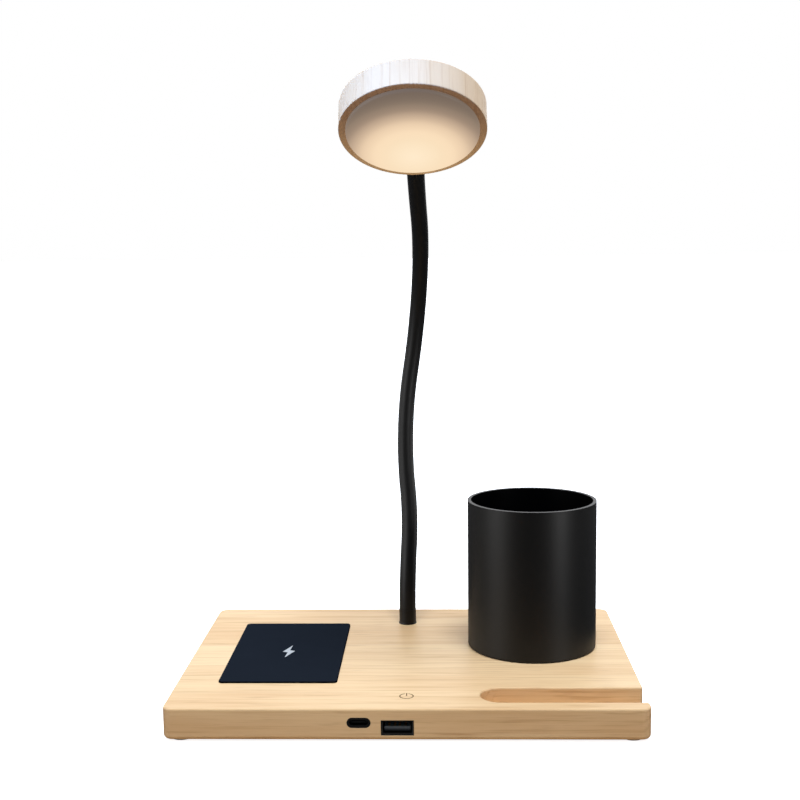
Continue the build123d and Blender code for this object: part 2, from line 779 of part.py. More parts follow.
# Head shell: a bamboo disc with a stepped well and a boss left standing for the stem
with BuildPart() as head_shell:
    with BuildSketch(head_plane.offset(head_front)):
        Circle(head_radius)
    extrude(amount=head_thickness)
    fillet(head_shell.faces().sort_by(head_axis)[-1].edges(), head_back_round)
    fillet(head_shell.faces().sort_by(head_axis)[0].edges(), head_front_round)
    with BuildSketch(head_plane.offset(head_front)):
        Circle(mouth_radius)
    extrude(amount=diffuser_seat_depth, mode=Mode.SUBTRACT)
    with BuildSketch(head_plane.offset(well_top)):
        Circle(well_radius)
        with Locations((0, boss_end)):
            Rectangle(
                boss_width, head_radius, align=(Align.CENTER, Align.MIN), mode=Mode.SUBTRACT
            )
    extrude(amount=well_floor - well_top, mode=Mode.SUBTRACT)
    # bore for the stem, with a flat seat for the ferrule
    with BuildSketch(last_seat.offset(head_ferrule_length)):
        Circle(stem_radius + drop_gap)
    extrude(amount=head_radius - boss_end, mode=Mode.SUBTRACT)
    with BuildSketch(last_seat.offset(head_ferrule_length)):
        Circle(ferrule_seat_radius)
    extrude(amount=ferrule_seat, both=True, mode=Mode.SUBTRACT)
    # hole for the grub screw through the boss
    with BuildSketch(head_plane.offset(well_top)):
        with Locations((0, boss_end + grub_setback)):
            Circle(grub_radius + thread_gap)
    extrude(amount=-well_top, mode=Mode.SUBTRACT)
    # pilot holes for the light board's screws
    with BuildSketch(head_plane.offset(well_floor)):
        with GridLocations(led_screw_spread, 0, 2, 1):
            Circle(led_screw[2] + screw_gap)
    extrude(amount=led_screw[3] - led_board_thickness + screw_gap, mode=Mode.SUBTRACT)
keep(head_shell, "head_shell")

with BuildPart() as grub_screw:
    with BuildSketch(head_plane.offset(well_top)):
        with Locations((0, boss_end + grub_setback)):
            Circle(grub_radius)
    extrude(amount=-well_top - stem_radius + grub_bite)
keep(grub_screw, "grub_screw")

# Light board with its chips and screws
with BuildPart() as led_board:
    with BuildSketch(head_plane.offset(led_board_face)):
        Circle(well_radius - led_board_margin)
        with Locations((0, boss_end - drop_gap)):
            Rectangle(
                boss_width + 2 * drop_gap,
                head_radius,
                align=(Align.CENTER, Align.MIN),
                mode=Mode.SUBTRACT,
            )
        with GridLocations(led_screw_spread, 0, 2, 1):
            Circle(led_screw[2] + screw_gap, mode=Mode.SUBTRACT)
    extrude(amount=led_board_thickness)
keep(led_board, "led_board")

with BuildPart() as led_chips:
    with BuildSketch(head_plane.offset(led_board_face)):
        with PolarLocations(led_ring_radius, led_count, start_angle=180 / led_count):
            Rectangle(led_width, led_length)
    extrude(amount=-led_height)
keep(led_chips, "led_chips")

with BuildPart(led_face) as led_screws:
    with GridLocations(led_screw_spread, 0, 2, 1):
        add(pan_screw(*led_screw))
keep(led_screws, "led_screws")

# Diffuser: a moulded opal cap that stands a little proud of the ring
with BuildPart() as diffuser:
    rim = mouth_radius - drop_gap
    face_edge = head_front - diffuser_proud
    face_middle = face_edge - diffuser_crown
    with BuildSketch(head_section) as diffuser_profile:
        with BuildLine():
            Line((0, face_middle + diffuser_wall), (0, face_middle))
            TangentArc((0, face_middle), (rim, face_edge), tangent=(1, 0))
            Polyline(
                (rim, face_edge),
                (rim, well_top),
                (rim - diffuser_wall, well_top),
                (rim - diffuser_wall, face_edge + diffuser_wall),
            )
            TangentArc(
                (0, face_middle + diffuser_wall),
                (rim - diffuser_wall, face_edge + diffuser_wall),
                tangent=(1, 0),
            )
        make_face()
        face_corner = diffuser_profile.vertices().group_by(Axis.X)[-1].sort_by(Axis.Y)[0]
        fillet(face_corner, diffuser_round)
    revolve(axis=head_axis)
keep(diffuser, "diffuser")

# Leads held inside: from the circuit board up to the first seat, and from the last seat to the head
with BuildPart() as lamp_lead:
    with BuildLine() as lamp_route:
        FilletPolyline(
            (neck_x, neck_y, first_hinge_height - lead_break),
            (neck_x, neck_y, lead_height),
            (lamp_socket_x, (neck_y + circuit_back) / 2, lead_height),
            (lamp_socket_x, circuit_back, lead_height),
            radius=[lead_turn_radius, lead_sweep_radius],
        )
    with BuildSketch(Plane(lamp_route.wire() @ 0, z_dir=lamp_route.wire() % 0)):
        Circle(lead_radius)
    sweep(path=lamp_route.wire())
keep(lamp_lead, "lamp_lead")

with BuildPart() as coil_lead:
    with BuildLine() as coil_route:
        FilletPolyline(
            (pad_x + coil_inner_diameter / 2, pad_middle - coil_radius / 2, ferrite_bottom),
            (pad_x + coil_inner_diameter / 2, pad_middle - coil_radius / 2, coil_lead_height),
            (coil_socket_x, circuit_back + coil_radius / 2, coil_lead_height),
            (coil_socket_x, circuit_back, coil_lead_height),
            radius=[coil_lead_turn_radius, coil_lead_sweep_radius],
        )
    with BuildSketch(Plane(coil_route.wire() @ 0, z_dir=coil_route.wire() % 0)):
        Circle(coil_lead_radius)
    sweep(path=coil_route.wire())
keep(coil_lead, "coil_lead")

with BuildPart() as head_lead:
    with BuildSketch(last_seat.offset(lead_break)):
        Circle(lead_radius)
    extrude(amount=head_ferrule_length + head_radius - boss_end + head_lead_reach - lead_break)
keep(head_lead, "head_lead")
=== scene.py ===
import math

import bpy
import numpy as np
from mathutils import Matrix, Vector


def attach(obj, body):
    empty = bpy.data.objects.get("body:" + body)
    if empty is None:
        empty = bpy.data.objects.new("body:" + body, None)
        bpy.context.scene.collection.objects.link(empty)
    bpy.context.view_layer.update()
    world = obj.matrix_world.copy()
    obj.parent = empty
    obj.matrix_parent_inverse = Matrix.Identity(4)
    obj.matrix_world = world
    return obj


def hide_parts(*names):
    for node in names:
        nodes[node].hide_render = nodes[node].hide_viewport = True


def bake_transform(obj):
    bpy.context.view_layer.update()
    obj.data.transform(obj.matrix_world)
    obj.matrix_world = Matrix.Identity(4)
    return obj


# Desk lamp with organizer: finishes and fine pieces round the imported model.
# Sizes in the dictionaries are millimetres in the model's own frame.

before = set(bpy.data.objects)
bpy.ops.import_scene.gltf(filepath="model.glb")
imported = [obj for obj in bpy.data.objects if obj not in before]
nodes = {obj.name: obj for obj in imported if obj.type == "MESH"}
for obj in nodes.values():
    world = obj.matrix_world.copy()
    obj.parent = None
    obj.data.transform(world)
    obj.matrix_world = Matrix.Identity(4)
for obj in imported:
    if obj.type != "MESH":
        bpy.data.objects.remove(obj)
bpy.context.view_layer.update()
scene = bpy.context.scene
mm = 0.001
print("frame loaded,", len(nodes), "nodes")


# camera at the photograph's viewing angle

cameraValues = {
    "place": (15.69, -586.82, 208.64),
    "pitch": 6.7845,  # degrees down
    "yaw": -1.8437,  # degrees to the right
    "roll": 0.6444,  # degrees
    "lens": 56.09,
    "sensor": 36.0,
    "clip": (10.0, 50000.0),  # nearest and farthest that it sees
}


def makeCamera(values):
    # forward comes from pitch and yaw; right and down are then turned about it by the roll
    pitch, yaw, roll = (math.radians(values[k]) for k in ("pitch", "yaw", "roll"))
    level = math.cos(pitch)
    forward = Vector((math.sin(yaw) * level, math.cos(yaw) * level, -math.sin(pitch)))
    right = Vector((math.cos(yaw), -math.sin(yaw), 0))
    down = forward.cross(right)
    across = right * math.cos(roll) + down * math.sin(roll)
    below = down * math.cos(roll) - right * math.sin(roll)
    data = bpy.data.cameras.new("photoCamera")
    data.lens = values["lens"]
    data.sensor_width = values["sensor"]
    data.clip_start, data.clip_end = (c * mm for c in values["clip"])
    camera = bpy.data.objects.new("photoCamera", data)
    turn = Matrix((across, -below, -forward)).transposed().to_4x4()
    camera.matrix_world = Matrix.Translation(Vector(values["place"]) * mm) @ turn
    scene.collection.objects.link(camera)
    scene.camera = camera


makeCamera(cameraValues)
print("camera placed")


# mesh helpers


def addPiece(name, points, faces, material, sharp=35):
    # points in millimetres; edges sharper than the angle in degrees stay crisp
    mesh = bpy.data.meshes.new(name)
    mesh.from_pydata((np.asarray(points) * mm).tolist(), [], faces)
    mesh.polygons.foreach_set("use_smooth", np.ones(len(mesh.polygons), dtype=bool))
    mesh.set_sharp_from_angle(angle=math.radians(sharp))
    mesh.materials.append(material)
    piece = bpy.data.objects.new(name, mesh)
    scene.collection.objects.link(piece)
    return piece


def tubeFaces(rows, columns):
    # quads between neighbouring rows of a closed ring, and one many-sided face over each end
    row, column = np.meshgrid(np.arange(rows - 1), np.arange(columns), indexing="ij")
    here = row * columns + column
    beside = row * columns + (column + 1) % columns
    quads = np.stack([here, beside, beside + columns, here + columns], -1).reshape(-1, 4)
    ring = np.arange(columns)
    ends = [ring[::-1].tolist(), (ring + (rows - 1) * columns).tolist()]
    return quads.tolist() + ends


def joinParts(parts):
    # several point arrays with their faces become one list of points and faces
    points, faces, first = [], [], 0
    for partPoints, partFaces in parts:
        points.append(partPoints)
        faces += [[i + first for i in face] for face in partFaces]
        first += len(partPoints)
    return np.concatenate(points), faces


# neck course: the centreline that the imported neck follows

neckValues = {
    "foot": (-2.0, 50.0, 22.5),
    "pitch": 32.5,
    "foreTurns": (-22.2, -5, 9, 17.2, 21.8, 20, 13.9, 4.1),  # degrees towards the front
    "sideTurns": (3.1, -8.5, 7, 7.2, -2.6, -2.3, -2.6, 1.7),  # degrees towards the right
    "headReach": 43.0,  # last seat to the middle of the head
    "headRoll": 4.9,  # degrees that the head is turned on its stem
}


def turned(vectors, axes, angles):
    # v cos a + (k x v) sin a + k (k . v)(1 - cos a), for each row
    c, s = np.cos(angles)[..., None], np.sin(angles)[..., None]
    along = np.sum(axes * vectors, -1, keepdims=True)
    return vectors * c + np.cross(axes, vectors) * s + axes * along * (1 - c)


def neckSeats(values):
    # each length turns its start by its own angle about a line set off by pitch / angle
    seats = {key: [] for key in ("origin", "x", "z", "axis", "centre", "angle")}
    origin, x, z = np.array(values["foot"]), np.array([1.0, 0, 0]), np.array([0, 0, 1.0])
    for fore, side in zip(values["foreTurns"], values["sideTurns"]):
        bend = math.hypot(fore, side)
        angle = np.radians(bend)
        axis = (x * fore + np.cross(z, x) * side) / bend
        centre = origin + np.cross(axis, z) * values["pitch"] / angle
        for key, value in zip(seats, (origin, x, z, axis, centre, angle)):
            seats[key].append(value)
        origin = centre + turned(origin - centre, axis, angle)
        x, z = turned(x, axis, angle), turned(z, axis, angle)
    return {key: np.array(value) for key, value in seats.items()}, (origin, x, z)


neckParts, (lastOrigin, lastX, lastZ) = neckSeats(neckValues)
headX = turned(lastX, lastZ, np.radians(neckValues["headRoll"]))
headY = -lastZ  # the head's own axes: y towards the neck, z out of its back
headZ = np.cross(headX, headY)
headMiddle = lastOrigin + lastZ * neckValues["headReach"]


def courseAt(distance):
    # point, across direction and forward direction at each distance from the first seat
    pitch = neckValues["pitch"]
    part = np.clip((distance // pitch).astype(int), 0, len(neckParts["angle"]) - 1)
    inside = np.clip(distance - part * pitch, 0, pitch)
    angle = neckParts["angle"][part] * inside / pitch
    axis, centre = neckParts["axis"][part], neckParts["centre"][part]
    x = turned(neckParts["x"][part], axis, angle)
    z = turned(neckParts["z"][part], axis, angle)
    beyond = (distance - part * pitch - inside)[:, None]
    return centre + turned(neckParts["origin"][part] - centre, axis, angle) + z * beyond, x, z


# node helpers for the finishes


def feed(tree, sockets, values):
    # each named socket is linked to the socket that feeds it, or set to a plain value
    for label, value in values.items():
        if isinstance(value, bpy.types.NodeSocket):
            tree.links.new(value, sockets[label])
        else:
            sockets[label].default_value = value


def addNode(tree, kind, inputs=None, **settings):
    # settings come first, because they can change which inputs there are
    node = tree.nodes.new("ShaderNode" + kind)
    for key, value in settings.items():
        setattr(node, key, value)
    feed(tree, node.inputs, inputs or {})
    return node


def calc(tree, operation, first, second=0.0, third=0.0):
    # one arithmetic step on one to three values
    inputs = {0: first, 1: second, 2: third}
    return addNode(tree, "Math", inputs, operation=operation).outputs[0]


def weighted(tree, values, weights):
    # sum of each named value times its weight
    total = 0.0
    for key, weight in weights.items():
        total = calc(tree, "MULTIPLY_ADD", values[key], weight, total)
    return total


def scaled(tree, vector, factors):
    # vector times factors, axis by axis
    return addNode(tree, "VectorMath", {0: vector, 1: factors}, operation="MULTIPLY").outputs[0]


def lengthOf(tree, vector):
    # square root of the sum of the squares
    return addNode(tree, "VectorMath", {0: vector}, operation="LENGTH").outputs["Value"]


def axesOf(tree, vector):
    # a vector's three values, by the names X, Y and Z
    return addNode(tree, "SeparateXYZ", {0: vector}).outputs


def between(tree, value, low, high, toLow=0.0, toHigh=1.0):
    # smooth step of value from low to high
    inputs = {"Value": value, "From Min": low, "From Max": high, "To Min": toLow, "To Max": toHigh}
    return addNode(tree, "MapRange", inputs, interpolation_type="SMOOTHSTEP").outputs[0]


def noise(tree, vector, scale, detail=3.0, roughness=0.55):
    # octaves of smooth noise, each finer and weaker by the roughness
    inputs = {"Vector": vector, "Scale": scale, "Detail": detail, "Roughness": roughness}
    return addNode(tree, "TexNoise", inputs).outputs[0]


def mixColour(tree, share, first, second, blend="MIX"):
    # first (1 - share) + second share, or the named blend of the two by that share
    node = addNode(tree, "Mix", data_type="RGBA", blend_type=blend)
    sockets = {socket.identifier: socket for socket in node.inputs}
    feed(tree, sockets, {"Factor_Float": share, "A_Color": first, "B_Color": second})
    return next(socket for socket in node.outputs if socket.identifier == "Result_Color")


def newGroup(name, inputs, outputs):
    # a shader group with named sockets, and the sockets inside that bring values in and take them out
    tree = bpy.data.node_groups.new(name, "ShaderNodeTree")
    for label, kind, value in inputs:
        socket = tree.interface.new_socket(label, in_out="INPUT", socket_type="NodeSocket" + kind)
        if value is not None:
            socket.default_value = value
    for label, kind in outputs:
        tree.interface.new_socket(label, in_out="OUTPUT", socket_type="NodeSocket" + kind)
    return tree, tree.nodes.new("NodeGroupInput").outputs, tree.nodes.new("NodeGroupOutput").inputs


def useGroup(tree, group, inputs):
    # one use of a group with its own values
    return addNode(tree, "Group", inputs, node_tree=group).outputs


def colour(red, green, blue):
    # screen values 0 to 255 to linear light, by the usual curve of a straight foot and a power
    share = np.array([red, green, blue]) / 255
    linear = np.where(share <= 0.04045, share / 12.92, ((share + 0.055) / 1.055) ** 2.4)
    return (*linear.tolist(), 1.0)


# bamboo: strips glued edge to edge, with fibres along X, strips along Y

grainValues = {
    "shift": 700.0,  # how far apart along the stalk strips may be cut
    "waves": {  # noise: waves a millimetre along and across, octaves, what each octave keeps of the last
        "broad": ((0.010, 0.09, 0.09), 2.0, 0.55),
        "streak": ((0.017, 0.62, 0.62), 3.0, 0.55),
        "hair": ((0.050, 2.0, 2.0), 3.0, 0.6),
        "spot": ((0.036, 0.40, 0.40), 2.0, 0.55),
    },
    "shows": {"streak": (0.52, 0.72), "hair": (0.52, 0.74), "spot": (0.58, 0.78)},  # noise of faint to full
    "knuckle": {"every": 230.0, "half": 7.0, "wave": 6.0},
    "glue": (0.05, 0.45),  # distances from the joint over which its line fades out
    "glueShade": (0.35, 0.60, 0.25, 1.0),  # broad noise from and to, weakest and strongest line
    "endFace": (0.6, 0.85),  # facing along the fibres over which end grain fades in
    "dots": (0.15, 1.3, 1.3),  # cells of the end grain a millimetre
    "dotEdge": (0.15, 0.45),  # share of a cell over which its dot fades out
    "tone": {"strip": 0.45, "broad": 0.90, "streak": 0.35},
    "toneSpan": (0.45, 1.25),  # tone of pale wood and of honey wood
    "marks": {"streak": 0.27, "hair": 0.17, "knuckle": 0.06, "glue": 0.30, "dots": 0.28, "spot": 0.32},
    "darkest": 0.9,  # most that the marks together cover
    "relief": {"streak": 0.7, "hair": 0.3, "glue": -0.5},
    "roughness": (0.42, 0.16),  # least, and what the streaks add
}


def makeBambooGroup(values):
    # noise stretched along the fibres: wide patches, streaks and hairs, a tone and a shift for each strip
    tree, given, out = newGroup(
        "bambooGrain",
        [("Place", "Vector", None), ("Facing", "Vector", None), ("Strip", "Float", 24.0),
         ("Pale", "Color", None), ("Honey", "Color", None), ("Fibre", "Color", None)],
        [("Colour", "Color"), ("Roughness", "Float"), ("Height", "Float")],
    )
    place = axesOf(tree, given["Place"])
    stripPlace = calc(tree, "DIVIDE", place["Y"], given["Strip"])
    stripNumber = calc(tree, "FLOOR", stripPlace)
    chance = addNode(tree, "TexWhiteNoise", {"W": stripNumber}, noise_dimensions="1D").outputs["Color"]
    draw = addNode(tree, "SeparateColor", {0: chance}).outputs
    # every strip is cut from another place of the stalk
    along = calc(tree, "MULTIPLY_ADD", draw[0], values["shift"], place["X"])
    stalk = addNode(tree, "CombineXYZ", {0: along, 1: place["Y"], 2: place["Z"]}).outputs[0]
    plain = {"strip": draw[1]}
    for key, (waves, octaves, keep) in values["waves"].items():
        plain[key] = noise(tree, scaled(tree, stalk, waves), 1.0, octaves, keep)
    marks = {key: between(tree, plain[key], *span) for key, span in values["shows"].items()}
    # knuckle of the stalk: a soft brown shade right across a strip
    knuckle = values["knuckle"]
    waved = calc(tree, "MULTIPLY_ADD", plain["broad"], knuckle["wave"], along)
    share = calc(tree, "FRACT", calc(tree, "DIVIDE", waved, knuckle["every"]))
    offMiddle = calc(tree, "ABSOLUTE", calc(tree, "SUBTRACT", share, 0.5))
    fromKnuckle = calc(tree, "MULTIPLY", offMiddle, knuckle["every"])
    marks["knuckle"] = between(tree, fromKnuckle, 0.0, knuckle["half"], 1.0, 0.0)
    # glue line between strips
    stripShare = calc(tree, "FRACT", stripPlace)
    fromGlue = calc(tree, "MINIMUM", stripShare, calc(tree, "SUBTRACT", 1.0, stripShare))
    line = between(tree, calc(tree, "MULTIPLY", fromGlue, given["Strip"]), *values["glue"], 1.0, 0.0)
    shade = between(tree, plain["broad"], *values["glueShade"])
    plain["glue"] = marks["glue"] = calc(tree, "MULTIPLY", line, shade)
    # end grain: fibre dots where the surface faces along the strips
    lengthways = calc(tree, "ABSOLUTE", axesOf(tree, given["Facing"])["X"])
    cellPlace = scaled(tree, given["Place"], values["dots"])
    cell = addNode(tree, "TexVoronoi", {"Vector": cellPlace, "Scale": 1.0}).outputs["Distance"]
    dot = between(tree, cell, *values["dotEdge"], 1.0, 0.0)
    marks["dots"] = calc(tree, "MULTIPLY", dot, between(tree, lengthways, *values["endFace"]))
    # tone of the wood, with the darker marks over it
    tone = between(tree, weighted(tree, plain, values["tone"]), *values["toneSpan"])
    wood = mixColour(tree, tone, given["Pale"], given["Honey"])
    fibres = calc(tree, "MINIMUM", weighted(tree, marks, values["marks"]), values["darkest"])
    wood = mixColour(tree, fibres, wood, given["Fibre"])
    least, more = values["roughness"]
    rough = calc(tree, "MULTIPLY_ADD", plain["streak"], more, least)
    height = weighted(tree, plain, values["relief"])
    feed(tree, out, {"Colour": wood, "Roughness": rough, "Height": height})
    return tree


# moulded and painted finishes: faint clouding, fine grain

cloudValues = {
    "clouds": 0.07,  # a millimetre
    "cloudShade": 4.0,  # how much more the clouding changes the shade than the roughness
    "fineOctaves": 2.0,
    "fineKeep": 0.5,  # what each octave keeps of the last
    "fineRoughness": 0.08,
}


def makeFinishGroup(values):
    # shade times 1 + cloudShade cloud (noise - 0.5); fine noise adds to the roughness and is the height
    tree, given, out = newGroup(
        "surfaceFinish",
        [("Place", "Vector", None), ("Colour", "Color", None), ("Roughness", "Float", 0.5),
         ("Grain", "Float", 3.0), ("Cloud", "Float", 0.06)],
        [("Colour", "Color"), ("Roughness", "Float"), ("Height", "Float")],
    )
    cloud = noise(tree, given["Place"], values["clouds"])
    fine = noise(tree, given["Place"], given["Grain"], values["fineOctaves"], values["fineKeep"])
    lift = calc(tree, "MULTIPLY", calc(tree, "SUBTRACT", cloud, 0.5), given["Cloud"])
    bright = calc(tree, "MULTIPLY_ADD", lift, values["cloudShade"], 1.0)
    tint = addNode(tree, "CombineXYZ", {0: bright, 1: bright, 2: bright}).outputs[0]
    toned = mixColour(tree, 1.0, given["Colour"], tint, "MULTIPLY")
    uneven = calc(tree, "MULTIPLY_ADD", fine, values["fineRoughness"], lift)
    rough = calc(tree, "ADD", given["Roughness"], uneven)
    feed(tree, out, {"Colour": toned, "Roughness": rough, "Height": fine})
    return tree


bambooGroup = makeBambooGroup(grainValues)
finishGroup = makeFinishGroup(cloudValues)


def newMaterial(name):
    # a Principled material with its tree and shader
    material = bpy.data.materials.new(name)
    material.use_nodes = True
    tree = material.node_tree
    shader = next(n for n in tree.nodes if n.type == "BSDF_PRINCIPLED")
    return material, tree, shader


def localPlace(tree, turn=None, middle=(0, 0, 0)):
    # millimetres from the middle, turned into a piece's own axes, and the facing turned likewise
    coordinate = addNode(tree, "TexCoord").outputs
    turn = np.eye(3) if turn is None else np.asarray(turn)
    angles = Matrix(turn.tolist()).to_euler()
    place = addNode(tree, "Mapping", {
        "Vector": coordinate["Object"], "Scale": (1 / mm,) * 3, "Rotation": angles,
        "Location": (-turn @ np.array(middle)).tolist()})
    facing = addNode(tree, "Mapping", {
        "Vector": coordinate["Normal"], "Rotation": angles}, vector_type="VECTOR")
    return place.outputs[0], facing.outputs[0]


def addBump(tree, shader, height, strength, relief=0.1):
    # normal tilted by the slope of height times relief, as far as the strength says
    bump = addNode(tree, "Bump", {"Height": height, "Strength": strength, "Distance": relief * mm})
    tree.links.new(bump.outputs[0], shader.inputs["Normal"])


bambooValues = {
    "pale": colour(243, 210, 163),
    "honey": colour(222, 180, 130),
    "fibre": colour(172, 124, 78),
    "strip": 22.8,
    "middle": (30.0, -9.4, 0.0),  # from where the strips are counted
    "bump": 0.10,
    "relief": 0.2,
    "specular": 0.25,
    "coat": 0.03,
    "coatRoughness": 0.35,
}
headValues = {
    "pale": colour(236, 214, 186),
    "honey": colour(231, 206, 174),
    "fibre": colour(192, 152, 112),
    "mouth": (colour(194, 178, 174), colour(255, 250, 238)),  # painted shade on the face round the light far from the neck, and painted glow from the light near it
    "mouthFade": (-20.0, 36.0),  # from and to, towards the neck, over which the painted shade turns into the painted glow
    "mouthFacing": (0.4, 0.9),  # facing the light's way over which that painted shade and glow fade in
    "sideFacing": (0.45, 0.75),  # facing front or back over which the side's strips fade out
    "strip": 14.0,
    "staves": 24,  # strips that stand round the side
    "radius": 33.0,
    "turn": (headY, headX, -headZ),  # the head's fibres run towards the neck
    "middle": headMiddle,
}


def bambooMaterial(name, **changes):
    # straight strips; on a round piece the side has upright strips laid out along the angle
    values = {**bambooValues, **changes}
    material, tree, shader = newMaterial(name)
    place, facing = localPlace(tree, values.get("turn"), values["middle"])
    inputs = {"Place": place, "Facing": facing, "Strip": values["strip"], "Pale": values["pale"],
              "Honey": values["honey"], "Fibre": values["fibre"]}
    grain = useGroup(tree, bambooGroup, inputs)
    wood, height = grain["Colour"], grain["Height"]
    if "staves" in values:
        at = axesOf(tree, place)
        angle = calc(tree, "ARCTAN2", at["Y"], calc(tree, "MULTIPLY", at["X"], -1.0))
        arc = calc(tree, "MULTIPLY", angle, values["radius"])
        upright = addNode(tree, "CombineXYZ", {0: at["Z"], 1: arc, 2: 0.0}).outputs[0]
        width = 2 * math.pi * values["radius"] / values["staves"]
        side = useGroup(tree, bambooGroup, {**inputs, "Place": upright, "Facing": (0, 0, 1), "Strip": width})
        outward = axesOf(tree, facing)["Z"]
        # painted shade and glow on the face round the light: darker away from the neck, lighter towards it
        mouth = mixColour(tree, between(tree, at["X"], *values["mouthFade"]), *values["mouth"])
        wood = mixColour(tree, between(tree, outward, *values["mouthFacing"]), wood, mouth, "MULTIPLY")
        sideways = between(tree, calc(tree, "ABSOLUTE", outward), *values["sideFacing"], 1.0, 0.0)
        wood = mixColour(tree, sideways, wood, side["Colour"])
        higher = calc(tree, "SUBTRACT", side["Height"], height)
        height = calc(tree, "MULTIPLY_ADD", sideways, higher, height)
    feed(tree, shader.inputs, {
        "Base Color": wood, "Roughness": grain["Roughness"], "Specular IOR Level": values["specular"],
        "Coat Weight": values["coat"], "Coat Roughness": values["coatRoughness"]})
    addBump(tree, shader, height, values["bump"], values["relief"])
    return material


plainValues = {
    "grain": 3.0,  # waves of the fine grain a millimetre
    "cloud": 0.06,
    "bump": 0.06,
    "metallic": 0.0,
    "specular": 0.5,
}


def addFinish(tree, shader, place, shade, changes):
    # clouding and fine grain: roughness and relief go to the shader, and the clouded shade comes back
    values = {**plainValues, **changes}
    surface = useGroup(tree, finishGroup, {
        "Place": place, "Colour": shade, "Roughness": values["roughness"], "Grain": values["grain"],
        "Cloud": values["cloud"]})
    feed(tree, shader.inputs, {
        "Roughness": surface["Roughness"], "Metallic": values["metallic"],
        "Specular IOR Level": values["specular"]})
    addBump(tree, shader, surface["Height"], values["bump"])
    return surface["Colour"]


def finishMaterial(name, values):
    # one shade with clouding and fine grain
    material, tree, shader = newMaterial(name)
    place = localPlace(tree)[0]
    shade = addFinish(tree, shader, place, colour(*values["shade"]), values)
    feed(tree, shader.inputs, {"Base Color": shade})
    return material


opalValues = {
    "glow": (0.0, 16.0),  # brightest place on the face, in the head's own axes
    "spread": (1.05, 1.0),  # how much faster the glow falls off across and along
    "reach": 46.0,  # distance over which the glow fades
    "strength": 1.0,
    "paintedShadeBase": colour(50, 46, 42),  # painted shade: a dark base colour under the glow in place of the opal's own pale colour
    "glowAndShadeStops": ((0.0, colour(254, 233, 202)), (0.26, colour(249, 225, 191)), (0.43, colour(245, 218, 184)),
              (0.565, colour(221, 194, 164)), (0.70, colour(172, 149, 128)), (0.826, colour(135, 118, 103)),
              (1.0, colour(112, 98, 88))),  # share of the reach, and the glow there; the dim grey-brown far stops are painted shade
    "roughness": 0.42,
    "grain": 1.2,
    "cloud": 0.03,
    "bump": 0.03,
    "specular": 0.1,
}


def opalMaterial(name, values):
    # glow falls off with distance from its brightest place, in the head's own axes; its dim grey-brown end
    # and the dark base colour are painted shade
    material, tree, shader = newMaterial(name)
    place = localPlace(tree, (headX, headY, headZ), headMiddle)[0]
    centred = addNode(tree, "VectorMath", {0: place, 1: (*values["glow"], 0.0)}, operation="SUBTRACT")
    away = lengthOf(tree, scaled(tree, centred.outputs[0], (*values["spread"], 0.0)))
    ramp = addNode(tree, "ValToRGB", {0: calc(tree, "DIVIDE", away, values["reach"])})
    ramp.color_ramp.interpolation = "CARDINAL"
    while len(ramp.color_ramp.elements) < len(values["glowAndShadeStops"]):
        ramp.color_ramp.elements.new(0.5)
    for element, (at, shade) in zip(ramp.color_ramp.elements, values["glowAndShadeStops"]):
        element.position = at
        element.color = shade
    shade = addFinish(tree, shader, place, values["paintedShadeBase"], values)
    feed(tree, shader.inputs, {
        "Base Color": shade, "Emission Color": ramp.outputs[0], "Emission Strength": values["strength"]})
    return material


padValues = {
    "top": colour(31, 36, 44),
    "side": colour(10, 11, 13),
    "upward": (0.55, 0.85),  # facing up over which the side turns into the top
    "roughness": 0.6,
    "grain": 4.0,
    "cloud": 0.03,
    "bump": 0.04,
    "specular": 0.0,
}


def padMaterial(name, values):
    # dark navy on top, near black where the surface faces sideways
    material, tree, shader = newMaterial(name)
    place, facing = localPlace(tree)
    top = addFinish(tree, shader, place, values["top"], values)
    upward = between(tree, axesOf(tree, facing)["Z"], *values["upward"])
    feed(tree, shader.inputs, {"Base Color": mixColour(tree, upward, values["side"], top)})
    return material


cupValues = {
    "middle": (60.3, 14.6, 0.0),
    "shades": (colour(4, 4, 5), colour(10, 10, 11)),  # inside, darker as painted shade, and outside
    "rim": colour(40, 40, 42),  # painted highlight on the rim where it faces up
    "upward": (0.3, 0.8),  # facing up over which the side turns into the painted rim highlight
    "gloss": (0.05, 0.58),  # inside and outside
    "glossRoughness": 0.44,
    "wall": (29.65, 29.9),  # radii between which the inside turns into the outside
    "roughness": 0.6,
    "grain": 2.2,
    "bump": 0.10,
    "specular": 0.0,
}


def cupMaterial(name, values):
    # fine moulded black, duller inside and darker there as painted shade, with a painted highlight on the
    # rim, told apart by the distance from the cup's axis
    material, tree, shader = newMaterial(name)
    place, facing = localPlace(tree, middle=values["middle"])
    radius = lengthOf(tree, scaled(tree, place, (1.0, 1.0, 0.0)))
    outside = between(tree, radius, *values["wall"])
    upward = between(tree, axesOf(tree, facing)["Z"], *values["upward"])
    # painted shade: the inside darker than the outside
    shade = mixColour(tree, outside, *values["shades"])
    # painted highlight: the rim paler where it faces up
    shade = mixColour(tree, calc(tree, "MULTIPLY", outside, upward), shade, values["rim"])
    gloss = between(tree, radius, *values["wall"], *values["gloss"])
    shade = addFinish(tree, shader, place, shade, values)
    feed(tree, shader.inputs, {
        "Base Color": shade, "Coat Weight": gloss, "Coat Roughness": values["glossRoughness"]})
    return material


tongueValues = {
    "upper": colour(104, 116, 126),
    "lower": colour(24, 30, 36),
    "heights": (5.2, 6.9),  # over which painted shade below turns into painted sheen above
    "roughness": 0.32,
    "grain": 2.0,
    "cloud": 0.08,
}


def tongueMaterial(name, values):
    # moulded tongue with a painted sheen above and painted shade towards its underside
    material, tree, shader = newMaterial(name)
    place = localPlace(tree)[0]
    upper = addFinish(tree, shader, place, values["upper"], values)
    share = between(tree, axesOf(tree, place)["Z"], *values["heights"])
    feed(tree, shader.inputs, {"Base Color": mixColour(tree, share, values["lower"], upper)})
    return material


